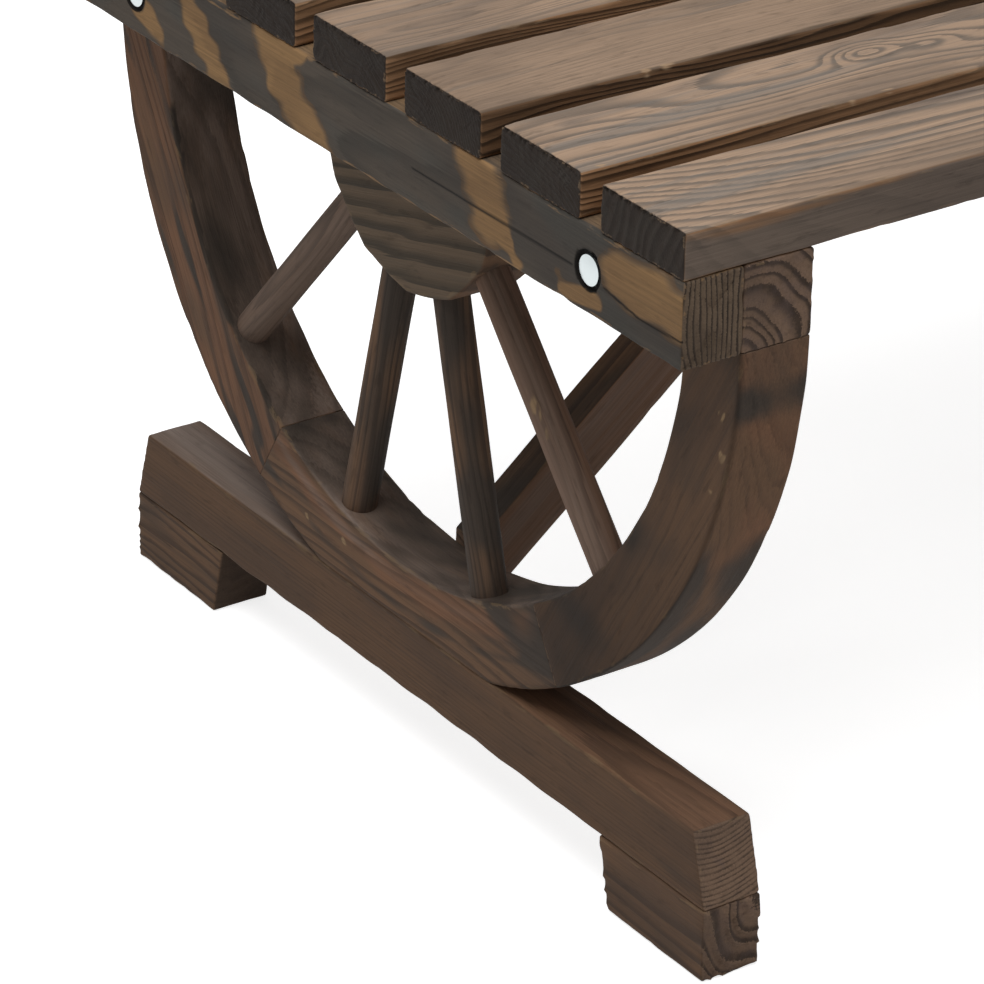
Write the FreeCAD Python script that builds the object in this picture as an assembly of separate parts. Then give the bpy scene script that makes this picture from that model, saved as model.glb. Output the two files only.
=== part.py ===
import FreeCAD, Part
import math
import os

os.makedirs("parts", exist_ok=True)
Vec = FreeCAD.Vector

# Garden table whose two ends stand on half cart wheels. X runs along the slats, Y across the
# table, Z up. The origin is on the floor under the middle of the top. Lengths in millimetres.

# Top of the table
table_length = 900.0
slat_count = 7
slat_width = 70.0
slat_gap = 17.5
slat_thickness = 26.5
slat_edge_round = 3.0

# Rail, bar and batten under the slats
rail_height = 48.0
rail_thickness = 37.0
rail_edge_round = 1.5
batten_thickness = 43.0

# Half wheel
rim_thickness = 43.0
rim_width = 47.0
rim_seat_depth = 13.5
felloe_count = 3
hub_radius = 83.0
spoke_diameter = 20.5
spoke_count = 4
spoke_step_angle = 28.0
spoke_aim_rise = 18.0
spoke_setback = 14.0
spoke_rim_depth = 18.0
spoke_hub_depth = 30.0

# Foot beam and foot blocks
beam_height = 43.0
beam_depth = 37.0
beam_top_inset = 24.0
beam_bottom_inset = 12.0
foot_height = 43.0
foot_depth = 37.0
foot_top_length = 95.0
foot_bottom_length = 85.0

# Diagonal brace
brace_width = 23.0
brace_depth = 35.0
brace_foot_rise = 18.5

# Carriage bolts through rail and bar
bolt_diameter = 6.0
bolt_inset = 79.0
bolt_head_diameter = 16.5
bolt_head_edge = 2.0
bolt_head_dome = 1.2
bolt_recess_diameter = 22.0
bolt_recess_depth = 2.4
bolt_tail = 4.0
washer_diameter = 18.0
washer_thickness = 1.6
nut_across_flats = 10.0
nut_height = 5.0

# Screws
screw_diameter = 5.0
screw_head_diameter = 9.6
screw_head_height = 3.2
slat_screw_recess = 22.0
slat_screw_bite = 16.0
seat_screw_recess = 14.0
seat_screw_bite = 22.0
seat_screw_offset = 35.0
foot_screw_recess = 14.0
foot_screw_bite = 25.0
foot_screw_spacing = 40.0

# Dowels
dowel_diameter = 10.0
dowel_length = 30.0
hub_dowel_offset = 48.0
brace_dowel_drop = 5.0
brace_dowel_rise = 5.0

# Room round everything that sits in a hole, and how far cuts run past what they cut
fit_clearance = 0.2
overrun = 5.0

# Levels and planes that follow from the sizes
slat_pitch = slat_width + slat_gap
table_width = slat_count * slat_width + (slat_count - 1) * slat_gap
wheel_radius = table_width / 2
rim_inner_radius = wheel_radius - rim_width
seat_drop = wheel_radius - rim_seat_depth
beam_top = foot_height + beam_height
wheel_level = beam_top + seat_drop
rail_top = wheel_level + rail_height
rail_middle = wheel_level + rail_height / 2
end_x = -table_length / 2
rim_front_x = end_x + rail_thickness
rim_back_x = rim_front_x + rim_thickness
rim_middle_x = (rim_front_x + rim_back_x) / 2
beam_middle_x = rim_front_x + beam_depth / 2
rail_middle_x = end_x + rail_thickness / 2
batten_face_x = -batten_thickness / 2
felloe_angle = 180.0 / felloe_count
spoke_inner_radius = hub_radius - spoke_hub_depth
spoke_outer_radius = rim_inner_radius + spoke_rim_depth
spoke_x = rim_front_x + spoke_setback
felloe_middle_drop = (rim_inner_radius + seat_drop) / 2


def box(x_low, x_high, y_low, y_high, z_low, z_high):
    size = (x_high - x_low, y_high - y_low, z_high - z_low)
    return Part.makeBox(*size, Vec(x_low, y_low, z_low))


def rounded(shape, radius, along, wall):
    # Rounds the straight edges that run along one direction, never by more than a third of the wall.
    picked = []
    for edge in shape.Edges:
        run = edge.Vertexes[-1].Point - edge.Vertexes[0].Point
        if abs(run.normalize().dot(along)) > math.cos(math.radians(1)):
            picked.append(edge)
    return shape.makeFillet(min(radius, wall / 3), picked)


def drilled(shape, holes):
    # Cuts a list of holes out of a piece.
    for hole in holes:
        shape = shape.cut(hole)
    return shape


def rod(start, end, diameter):
    run = end - start
    return Part.makeCylinder(diameter / 2, run.Length, start, run)


def hole_for(start, end, diameter):
    return rod(start, end, diameter + 2 * fit_clearance)


def on_wheel(radius, angle, x):
    # A point of the wheel: the angle turns from +Y downwards about the wheel's centre.
    turn = math.radians(angle)
    return Vec(x, radius * math.cos(turn), wheel_level - radius * math.sin(turn))


def extruded(points, run):
    return Part.Face(Part.makePolygon(points + points[:1])).extrude(run)


def slat_centre(index):
    return (index - (slat_count - 1) / 2) * slat_pitch


def turned(shape):
    # The far end is the near end turned half round the upright axis.
    copy = shape.copy()
    copy.rotate(Vec(0, 0, 0), Vec(0, 0, 1), 180)
    return copy


def both_ends(shapes):
    return shapes + [turned(shape) for shape in shapes]


# Dowels: each is a start and an end point

def dowel_between(point, direction):
    reach = Vec(direction).normalize() * (dowel_length / 2)
    return (point - reach, point + reach)


def felloe_dowels():
    pins = []
    for joint in range(1, felloe_count):
        angle = joint * felloe_angle
        point = on_wheel(rim_inner_radius + rim_width / 2, angle, rim_middle_x)
        ahead = on_wheel(wheel_radius, angle + 90, rim_middle_x)
        pins.append(dowel_between(point, ahead - Vec(rim_middle_x, 0, wheel_level)))
    return pins


def bar_dowels():
    pins = []
    rim_end = wheel_radius - rim_width / 2
    for y in (-rim_end, -hub_dowel_offset, hub_dowel_offset, rim_end):
        pins.append(dowel_between(Vec(rim_middle_x, y, wheel_level), Vec(0, 0, 1)))
    return pins


def brace_dowels():
    low = Vec(rim_back_x, 0, wheel_level - felloe_middle_drop + brace_dowel_rise)
    high = Vec(batten_face_x, 0, rail_middle - brace_dowel_drop)
    return [dowel_between(low, Vec(1, 0, 0)), dowel_between(high, Vec(1, 0, 0))]


def end_dowels():
    return felloe_dowels() + bar_dowels() + brace_dowels()


def dowel_holes():
    return [hole_for(start, end, dowel_diameter) for start, end in end_dowels()]


# Screws: each stands upright with its head below

def screw(x, y, seat_level, length):
    seat = Vec(x, y, seat_level)
    head = Vec(x, y, seat_level - screw_head_height)
    shank = rod(seat, Vec(x, y, seat_level + length), screw_diameter)
    return rod(head, seat, screw_head_diameter).fuse(shank).removeSplitter()


def screw_hole(x, y, mouth_level, seat_level, length):
    seat = Vec(x, y, seat_level)
    mouth = Vec(x, y, mouth_level - overrun)
    shank = hole_for(seat, Vec(x, y, seat_level + length), screw_diameter)
    return hole_for(mouth, seat, screw_head_diameter).fuse(shank)


slat_seat = wheel_level + slat_screw_recess
slat_screw_length = rail_height - slat_screw_recess + slat_screw_bite
slat_screw_places = [(x, slat_centre(index))
                     for x in (rail_middle_x, 0.0, -rail_middle_x)
                     for index in range(slat_count)]

seat_seat = foot_height + seat_screw_recess
seat_screw_length = beam_height - seat_screw_recess + seat_screw_bite
seat_screw_places = [(beam_middle_x, y) for y in (-seat_screw_offset, seat_screw_offset)]

foot_middle = table_width / 2 - beam_bottom_inset - foot_bottom_length / 2
foot_screw_length = foot_height - foot_screw_recess + foot_screw_bite
foot_screw_places = [(beam_middle_x, side * foot_middle + step * foot_screw_spacing / 2)
                     for side in (-1, 1) for step in (-1, 1)]


def slat_screw_holes():
    return [screw_hole(x, y, wheel_level, slat_seat, slat_screw_length) for x, y in slat_screw_places]


def seat_screw_holes():
    return [screw_hole(x, y, foot_height, seat_seat, seat_screw_length) for x, y in seat_screw_places]


def foot_screw_holes():
    return [screw_hole(x, y, 0, foot_screw_recess, foot_screw_length) for x, y in foot_screw_places]


# Carriage bolts, with their washers and nuts behind the bar

bolt_places = [side * (table_width / 2 - bolt_inset) for side in (-1, 1)]
nut_face_x = rim_back_x + washer_thickness
bolt_end_x = nut_face_x + nut_height + bolt_tail
bolt_seat_x = end_x + bolt_recess_depth


def bolt_axis(y, x_low, x_high):
    return Vec(x_low, y, rail_middle), Vec(x_high, y, rail_middle)


def bolt_holes():
    return [hole_for(*bolt_axis(y, end_x - overrun, rim_back_x + overrun), bolt_diameter) for y in bolt_places]


def bolt_recesses():
    return [rod(*bolt_axis(y, end_x - overrun, bolt_seat_x), bolt_recess_diameter) for y in bolt_places]


def carriage_bolt(y):
    # The head is a short round edge under a dome, a cap of the sphere through that edge and the crown.
    dome_x = bolt_seat_x - bolt_head_edge
    radius = ((bolt_head_diameter / 2) ** 2 + bolt_head_dome ** 2) / (2 * bolt_head_dome)
    ball = Part.makeSphere(radius, Vec(dome_x - bolt_head_dome + radius, y, rail_middle))
    head = ball.common(rod(*bolt_axis(y, dome_x - bolt_head_diameter, bolt_seat_x), bolt_head_diameter))
    return head.fuse(rod(*bolt_axis(y, bolt_seat_x, bolt_end_x), bolt_diameter)).removeSplitter()


def washer(y):
    disc = rod(*bolt_axis(y, rim_back_x, nut_face_x), washer_diameter)
    return disc.cut(hole_for(*bolt_axis(y, rim_back_x - overrun, nut_face_x + overrun), bolt_diameter))


def nut(y):
    corner = nut_across_flats / 2 / math.cos(math.radians(30))
    points = [Vec(nut_face_x, y + corner * math.sin(math.radians(turn)),
                  rail_middle + corner * math.cos(math.radians(turn))) for turn in range(0, 360, 60)]
    block = extruded(points, Vec(nut_height, 0, 0))
    return block.cut(hole_for(*bolt_axis(y, nut_face_x - overrun, bolt_end_x + overrun), bolt_diameter))


# Wooden pieces

def slat(index):
    y = slat_centre(index)
    board = box(end_x, -end_x, y - slat_width / 2, y + slat_width / 2, rail_top, rail_top + slat_thickness)
    board = rounded(board, slat_edge_round, Vec(1, 0, 0), slat_thickness)
    places = [place for place in slat_screw_places if abs(place[1] - y) < slat_width / 2]
    return drilled(board, [screw_hole(*place, wheel_level, slat_seat, slat_screw_length) for place in places])


def cross_bar(x_low, x_high):
    half = table_width / 2
    bar = box(x_low, x_high, -half, half, wheel_level, rail_top)
    return rounded(bar, rail_edge_round, Vec(0, 1, 0), rail_height)


def end_rail():
    return drilled(cross_bar(end_x, rim_front_x), bolt_holes() + bolt_recesses() + slat_screw_holes())


def inner_bar():
    return drilled(cross_bar(rim_front_x, rim_back_x), bolt_holes() + dowel_holes())


def centre_batten():
    holes = both_ends(dowel_holes()) + slat_screw_holes()
    return drilled(cross_bar(batten_face_x, -batten_face_x), holes)


def spoke_angles():
    first = 90 - spoke_step_angle * (spoke_count - 1) / 2
    return [first + spoke_step_angle * index for index in range(spoke_count)]


def spoke_ends(angle):
    # The spokes fan out from one point a little above the wheel's centre, so each is followed from
    # there to where it meets the circle of its inner end and the circle of its outer end.
    turn = math.radians(angle)
    ends = []
    for radius in (spoke_inner_radius, spoke_outer_radius):
        reach = spoke_aim_rise * math.sin(turn) + math.sqrt(radius ** 2 - (spoke_aim_rise * math.cos(turn)) ** 2)
        ends.append(on_wheel(reach, angle, spoke_x) + Vec(0, 0, spoke_aim_rise))
    return ends


def spoke(angle):
    return rod(*spoke_ends(angle), spoke_diameter)


def spoke_holes():
    return [hole_for(*spoke_ends(angle), spoke_diameter) for angle in spoke_angles()]


def wheel_arc(radius, start, end):
    points = [on_wheel(radius, angle, rim_front_x) for angle in (start, (start + end) / 2, end)]
    return Part.Arc(*points).toShape()


def felloe(index):
    start, end = index * felloe_angle, (index + 1) * felloe_angle
    sides = [Part.makeLine(on_wheel(rim_inner_radius, angle, rim_front_x), on_wheel(wheel_radius, angle, rim_front_x))
             for angle in (start, end)]
    outline = Part.Wire([wheel_arc(wheel_radius, start, end), sides[1],
                         wheel_arc(rim_inner_radius, start, end), sides[0]])
    block = Part.Face(outline).extrude(Vec(rim_thickness, 0, 0))
    below = box(end_x, 0, -wheel_radius, wheel_radius, -overrun, beam_top)
    return drilled(block, [below] + spoke_holes() + dowel_holes() + seat_screw_holes())


def hub():
    disc = Part.makeCylinder(hub_radius, rim_thickness, Vec(rim_front_x, 0, wheel_level), Vec(1, 0, 0))
    above = box(end_x, 0, -wheel_radius, wheel_radius, wheel_level, wheel_level + wheel_radius)
    return drilled(disc, [above] + spoke_holes() + dowel_holes())


def foot_beam():
    x = rim_front_x
    top_half = table_width / 2 - beam_top_inset
    bottom_half = table_width / 2 - beam_bottom_inset
    points = [Vec(x, -bottom_half, foot_height), Vec(x, bottom_half, foot_height),
              Vec(x, top_half, beam_top), Vec(x, -top_half, beam_top)]
    return drilled(extruded(points, Vec(beam_depth, 0, 0)), seat_screw_holes() + foot_screw_holes())


def foot(side):
    x = beam_middle_x - foot_depth / 2
    outer = side * (table_width / 2 - beam_bottom_inset)
    points = [Vec(x, outer, 0), Vec(x, outer, foot_height),
              Vec(x, outer - side * foot_top_length, foot_height), Vec(x, outer - side * foot_bottom_length, 0)]
    return drilled(extruded(points, Vec(foot_depth, 0, 0)), foot_screw_holes())


def brace():
    # Both ends are cut plumb, so the bar's upright height is its depth over the cosine of its rise.
    run = batten_face_x - rim_back_x
    low, high = beam_top + brace_foot_rise, rail_middle
    half = brace_depth / 2 / math.cos(math.atan2(high - low, run))
    y = -brace_width / 2
    points = [Vec(rim_back_x, y, low - half), Vec(batten_face_x, y, high - half),
              Vec(batten_face_x, y, high + half), Vec(rim_back_x, y, low + half)]
    return drilled(extruded(points, Vec(0, brace_width, 0)), dowel_holes())


def save(node, shape):
    shape.exportStep("parts/" + node + ".step")
    print(node, round(shape.Volume), "mm3,", len(shape.Solids), "solids, valid", shape.isValid())


for index in range(slat_count):
    save("slat_%d" % (index + 1), slat(index))

end_pieces = {"end_rail": end_rail(), "inner_bar": inner_bar(), "hub": hub(), "foot_beam": foot_beam(),
              "foot_right": foot(-1), "foot_left": foot(1), "brace": brace()}
for index in range(felloe_count):
    end_pieces["felloe_%d" % (index + 1)] = felloe(index)
for index, angle in enumerate(spoke_angles()):
    end_pieces["spoke_%d" % (index + 1)] = spoke(angle)
for node, shape in end_pieces.items():
    save(node + "_near", shape)
    save(node + "_far", turned(shape))

save("centre_batten", centre_batten())
save("carriage_bolts", Part.makeCompound(both_ends([carriage_bolt(y) for y in bolt_places])))
save("bolt_washers", Part.makeCompound(both_ends([washer(y) for y in bolt_places])))
save("bolt_nuts", Part.makeCompound(both_ends([nut(y) for y in bolt_places])))
save("slat_screws", Part.makeCompound([screw(x, y, slat_seat, slat_screw_length) for x, y in slat_screw_places]))
save("seat_screws", Part.makeCompound(both_ends([screw(x, y, seat_seat, seat_screw_length)
                                                 for x, y in seat_screw_places])))
save("foot_screws", Part.makeCompound(both_ends([screw(x, y, foot_screw_recess, foot_screw_length)
                                                 for x, y in foot_screw_places])))
save("dowels", Part.makeCompound(both_ends([rod(start, end, dowel_diameter) for start, end in end_dowels()])))
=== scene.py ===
import math
from functools import partial
import bmesh
import bpy
import numpy as np
from mathutils import Matrix, Vector


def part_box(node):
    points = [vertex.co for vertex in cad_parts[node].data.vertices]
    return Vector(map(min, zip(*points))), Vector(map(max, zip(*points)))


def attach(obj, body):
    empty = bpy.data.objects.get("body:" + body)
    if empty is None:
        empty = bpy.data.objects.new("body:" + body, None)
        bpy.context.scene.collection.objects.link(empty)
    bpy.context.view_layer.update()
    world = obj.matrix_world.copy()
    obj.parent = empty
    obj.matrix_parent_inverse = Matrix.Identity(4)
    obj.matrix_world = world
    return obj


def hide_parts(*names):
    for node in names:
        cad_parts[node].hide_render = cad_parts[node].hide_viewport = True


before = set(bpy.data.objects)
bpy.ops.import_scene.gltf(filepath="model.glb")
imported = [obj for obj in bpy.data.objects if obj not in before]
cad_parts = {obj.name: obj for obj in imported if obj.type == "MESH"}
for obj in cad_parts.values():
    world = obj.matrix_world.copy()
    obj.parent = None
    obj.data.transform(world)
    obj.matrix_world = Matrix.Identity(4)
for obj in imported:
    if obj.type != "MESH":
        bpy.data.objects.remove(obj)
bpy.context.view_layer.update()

scene = bpy.context.scene
print("frame loaded,", len(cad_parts), "nodes")

mm = 0.001  # shapes are worked out in millimetres and saved in metres
farSeed = 500  # added to a seed at the far end, so that its pieces have marks of their own
wearSeed = 100  # added to a seed for the wear of the arrises


# Shapes

def nodeBox(node):
    # middle and half size of a CAD node, in millimetres
    low, high = (np.array(corner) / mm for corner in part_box(node))
    return (low + high) / 2, (high - low) / 2


def atEnd(end, points):
    # the far end of the table is the near one turned half round the upright axis
    return points if end == "near" else points * np.array([-1, -1, 1])


def seedAt(end, seed):
    return seed + (farSeed if end == "far" else 0)


def waves(rng, points, lengths, count=7):
    # smooth waviness between about -1 and 1: a sum of sine waves with random directions and phases,
    # whose usual length along each axis is given in millimetres
    total = np.zeros(points.shape[:-1])
    for step in range(count):
        wave = rng.normal(size=3) / np.array(lengths)
        total += np.sin(2 * np.pi * (points @ wave + rng.uniform()))
    return total / math.sqrt(count)


def cloudy(rng, points, lengths, swing, level):
    # waves about a level
    return level + swing * waves(rng, points, lengths)


def patchy(rng, points, lengths, level, swing, most=1.0):
    # the same, cut off at 0 and at the most
    return np.clip(cloudy(rng, points, lengths, swing, level), 0, most)


def band(value, middle, spread):
    # 1 at the middle, falling off as a bell on both sides
    return np.exp(-((value - middle) / spread) ** 2)


def toSegment(u, v, segment):
    # distance from points of a face to a straight stroke on it
    u0, v0, u1, v1 = segment[:4]
    run, rise = u1 - u0, v1 - v0
    share = np.clip(((u - u0) * run + (v - v0) * rise) / (run * run + rise * rise), 0, 1)
    return np.hypot(u - u0 - share * run, v - v0 - share * rise)


def ramp(value, start, over):
    # 0 up to the start, then rising to 1 over a stretch
    return np.clip((value - start) / over, 0, 1)


def spot(away, size, border):
    # 1 near the middle of a mark, 0 past its soft border
    return np.clip(border - away / size, 0, 1)


faceTurn = (0.3, 0.6)  # start and stretch, of the normal, over which an arris passes into a face
shortSide = 0.1  # a side of a section shorter than this gets no columns of its own
capTilt = math.radians(89)  # rows turned further than this lie on an end face
noArris = 1000.0  # stands for the distance to a long arris where there is none
arrisWaves = (60, 1, 1)
barSteps = {"columnStep": 2.0, "rowStep": 6.0, "capStep": 1.4, "arcSteps": 4}  # where a shape has no other


def sectionColumns(halfV, halfW, shape, marksV):
    # columns round a rounded rectangle: the two corners each lies between, its share of the way
    # from one to the other, the direction it faces, and how far it is from the nearest corner;
    # marksV are places across the two wide sides that need a column of their own
    signs = np.array([(1, 1), (-1, 1), (-1, -1), (1, -1)], float)
    start, end, share, facing, toCorner = [], [], [], [], []
    for turn in range(4):
        here, there = signs[turn], signs[(turn + 1) % 4]
        run = 2 * ((halfV if turn % 2 == 0 else halfW) - shape["corner"])
        steps = max(2, int(round(run / shape["columnStep"]))) if run > shortSide else 1
        arc = np.linspace(0, 90, shape["arcSteps"] + 1)
        side = np.arange(1, steps) / steps
        if turn % 2 == 0 and len(marksV):
            side = np.union1d(side, np.array(marksV) / run + 0.5)
        start += [here] * (len(arc) + len(side))
        end += [here] * len(arc) + [there] * len(side)
        share += [0.0] * len(arc) + list(side)
        facing += list(np.radians(90 * turn + arc)) + [math.radians(90 * (turn + 1))] * len(side)
        toCorner += [0.0] * len(arc) + list(np.minimum(side, 1 - side) * run)
    return [np.array(values) for values in (start, end, share, facing, toCorner)]


def barRows(length, edge, halfThin, rowStep, capStep, marksU=(), arcSteps=5):
    # rows from the middle of one end face to the middle of the other: place along the bar, how far
    # the section is drawn in, and how far the surface has turned towards the end
    cap = np.linspace(halfThin, edge, max(3, int(round((halfThin - edge) / capStep))))
    turn = np.linspace(-90, 0, arcSteps + 1)[1:-1]
    half = length / 2
    middle = np.linspace(edge - half, half - edge, max(4, int(round(length / rowStep))))
    middle = np.union1d(middle, marksU)
    along = np.concatenate([np.full(len(cap), -half), edge - half + edge * np.sin(np.radians(turn))])
    inset = np.concatenate([cap, edge * (1 - np.cos(np.radians(turn)))])
    tilt = np.concatenate([np.full(len(cap), -90.0), turn])
    return (np.concatenate([along, middle, -along[::-1]]),
            np.concatenate([inset, np.zeros(len(middle)), inset[::-1]]),
            np.radians(np.concatenate([tilt, np.zeros(len(middle)), -tilt[::-1]])))


def gridNormals(tilt, facing):
    # each row is turned towards the end by its tilt, each column faces round the section
    return np.stack([np.sin(tilt)[:, None] + 0 * facing, np.cos(tilt)[:, None] * np.cos(facing),
                     np.cos(tilt)[:, None] * np.sin(facing)], axis=-1)


def barGrid(length, halfV, halfW, shape, seed, marksU=(), marksV=()):
    # a bar along u with section v, w: a rounded rectangle carried along the length and drawn in to
    # the middle at both ends; the corner radius wanders with the wear;
    # gives points, normals and the distances to the long arrises and to the ends
    shape = {**barSteps, **shape}
    rng, edge, thin = np.random.default_rng(seed + wearSeed), shape["edge"], min(halfV, halfW)
    start, end, share, facing, toCorner = sectionColumns(halfV, halfW, shape, marksV)
    along, inset, tilt = barRows(length, edge, thin, shape["rowStep"], shape["capStep"], marksU)
    line = np.stack([along, 0 * along, 0 * along], axis=-1)
    radius = shape["corner"] * (1 + shape["wear"] * waves(rng, line, arrisWaves))
    radius = np.clip(radius - inset, 0, thin - inset)
    middle = (1 - share)[:, None] * start + share[:, None] * end
    points = np.empty((len(along), len(facing), 3))
    points[..., 0] = along[:, None]
    points[..., 1] = middle[:, 0] * (halfV - inset - radius)[:, None] + radius[:, None] * np.cos(facing)
    points[..., 2] = middle[:, 1] * (halfW - inset - radius)[:, None] + radius[:, None] * np.sin(facing)
    onCap = np.abs(tilt) > capTilt
    toEnd = np.where(onCap, inset - edge, length / 2 - np.abs(along))
    toCorner = np.where(onCap[:, None], noArris, toCorner)
    return points, gridNormals(tilt, facing), toCorner, np.maximum(toEnd, 0)[:, None] + 0 * toCorner


woodCut = {"taper": 0.012, "bend": 4.0, "wiggle": 0.25, "ring": 5.0, "uneven": 1.0, "sweeps": [],
           "knots": [], "sideRelief": 0.2, "endRelief": 0.9, "dents": 0.06, "chips": 0.5, "nicks": 0.0,
           "rub": 1.0}  # where a piece has no other
woodWaves = {"bend": (420, 90, 90), "wiggle": (80, 22, 22), "dents": (120, 30, 30), "chips": (22, 12, 12),
             "nicks": (300, 3.5, 3.5)}  # usual lengths along and across the grain
woodYears = ((0.28, 1.9), (0.35, 0.77))  # good years and lean ones: how much, and how soon it comes round
knotStretch = 2.2  # a knot's hump is longer along the grain by this
lateWood = {"break": (0.86, 0.14), "level": 0.25}  # in shares of a ring
woodWear = {"reliefFade": 0.8, "reliefReach": 2.5, "chipFrom": 0.9, "chipReach": 2.0, "nickTop": (-5, 3),
            "nickMost": 1.3, "nickReach": 2.0, "rubReach": 3.0, "grainShift": 4000}
mergeDistance = 0.002 * mm


def ringCount(grain, cut, rng):
    # growth rings as one smooth number: distance from the pith, plus the trunk's taper, its slow and
    # quick bends and a sweep that dies away from one end, over the ring width; a knot adds a round hump
    u, v, w = np.moveaxis(grain, -1, 0)
    bent = np.hypot(v - cut["pith"][0], w - cut["pith"][1]) + cut["taper"] * u
    for key in ("bend", "wiggle"):
        bent = bent + cut[key] * waves(rng, grain, woodWaves[key])
    for place, amount, length in cut["sweeps"]:
        bent = bent + amount * np.exp(-np.abs(u - place) / length)
    rings = bent / cut["ring"]
    starts = rng.uniform(0, 2 * np.pi, len(woodYears))
    uneven = sum(amount * np.sin(pace * rings + start) for (amount, pace), start in zip(woodYears, starts))
    rings = rings + cut["uneven"] * uneven
    for along, across, size, height in cut["knots"]:
        hump = np.exp(-((u - along) / (knotStretch * size)) ** 2 - ((v - across) / size) ** 2)
        rings = rings + height * hump
    return rings


def ridge(rings):
    # brushing leaves the hard late wood standing: a slow rise and a quick fall in each ring
    share = rings - np.floor(rings)
    return share ** 2 * (1 - ramp(share, *lateWood["break"])) - lateWood["level"]


def meshObject(name, points, values, material):
    # a closed skin over the grid; columns join round, end rows meet in the middle
    rows, columns = points.shape[:2]
    index = np.arange(rows * columns).reshape(rows, columns)
    beside = np.roll(index, -1, axis=1)
    quads = np.stack([index[:-1], beside[:-1], beside[1:], index[1:]], axis=-1).reshape(-1, 4)
    flat = points.reshape(-1, 3) * mm
    a, b, c, d = (flat[quads[:, k]] for k in range(4))
    volume = np.einsum("ij,ij->i", a, np.cross(b, c)).sum() + np.einsum("ij,ij->i", a, np.cross(c, d)).sum()
    if volume < 0:
        quads = quads[:, ::-1]
    mesh = bpy.data.meshes.new(name)
    mesh.from_pydata(flat.tolist(), [], quads.tolist())
    for key, value in values.items():
        kind, field = ("FLOAT_VECTOR", "vector") if value.ndim == 3 else ("FLOAT", "value")
        mesh.attributes.new(key, kind, "POINT").data.foreach_set(field, value.astype(np.float32).ravel())
    welded = bmesh.new()
    welded.from_mesh(mesh)
    bmesh.ops.remove_doubles(welded, verts=welded.verts, dist=mergeDistance)
    welded.to_mesh(mesh)
    welded.free()
    mesh.polygons.foreach_set("use_smooth", np.ones(len(mesh.polygons), bool))
    mesh.materials.append(material)
    thing = bpy.data.objects.new(name, mesh)
    scene.collection.objects.link(thing)
    return thing


def woodPiece(node, material, grid, place, cut, seed, marks, grainOf=None):
    # finishes a grid of local points into a wooden piece: rings, brushed relief that fades at the long
    # arrises, chips, nicks in the upper end arris, place and attributes; marks gives the attributes
    # that only this kind of piece has
    rng, cut, wear = np.random.default_rng(seed), {**woodCut, **cut}, woodWear
    points, normals, toCorner, toEnd = grid
    grain = points if grainOf is None else grainOf(points)
    rings = ringCount(grain, cut, rng)
    endShare = np.abs(normals[..., 0])
    sideRelief, ends = cut["sideRelief"], np.broadcast_to(cut["endRelief"], 2)
    endRelief = np.where(points[..., 0] < 0, ends[0], ends[1])
    relief = sideRelief + (endRelief - sideRelief) * endShare
    relief = relief * (1 - wear["reliefFade"] * np.exp(-toCorner / wear["reliefReach"]))
    lift = relief * ridge(rings) + cut["dents"] * waves(rng, grain, woodWaves["dents"])
    toEdge = np.minimum(toCorner, toEnd)
    chips = np.clip(waves(rng, grain, woodWaves["chips"]) - wear["chipFrom"], 0, 1)
    chips = cut["chips"] * chips * np.exp(-toEdge / wear["chipReach"])
    height = points[..., 2]
    upper = ramp(height - height.max(), *wear["nickTop"])
    nicks = np.clip(waves(rng, grain, woodWaves["nicks"]), 0, wear["nickMost"])
    nicks = cut["nicks"] * nicks * np.exp(-toEnd / wear["nickReach"]) * upper
    shaped = points + normals * (lift - chips - nicks)[..., None]
    values = {"grain": grain + np.array([rng.uniform(0, wear["grainShift"]), 0, 0]), "ring": rings,
              "endGrain": endShare, "edge": cut["rub"] * np.exp(-toEdge / wear["rubReach"])}
    values.update(marks(points, normals, rng))
    piece = meshObject(node + "_wood", place(shaped), values, material)
    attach(piece, "root")
    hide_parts(node)


# Materials

def linear(code):
    # sRGB hex to linear colour
    parts = [int(code[k:k + 2], 16) / 255 for k in (1, 3, 5)]
    return tuple(p / 12.92 if p <= 0.04045 else ((p + 0.055) / 1.055) ** 2.4 for p in parts) + (1.0,)


def addNode(tree, kind, inputs=None, out=0, **settings):
    # one node: its settings, then its inputs, each linked to a socket or set to a value; gives an output
    made = tree.nodes.new("ShaderNode" + kind)
    for key, value in settings.items():
        setattr(made, key, value)
    for key, value in (inputs or {}).items():
        if isinstance(value, bpy.types.NodeSocket):
            tree.links.new(value, made.inputs[key])
        else:
            made.inputs[key].default_value = value
    return made.outputs[out] if made.outputs else made


def newMaterial(name):
    material = bpy.data.materials.new(name)
    material.use_nodes = True
    material.node_tree.nodes.clear()
    return material, material.node_tree


def layered(tree, colour, layers):
    # paints layers over a colour, each where its mask passes from bare to painted, up to its share
    for mask, border, share, over in layers:
        low, high = firBorder[border]
        shown = addNode(tree, "MapRange", {"Value": mask, "From Min": low, "From Max": high,
                                           "To Max": share}, interpolation_type="SMOOTHSTEP")
        colour = addNode(tree, "Mix", {0: shown, 6: colour, 7: over}, 2, data_type="RGBA")
    return colour


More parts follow.
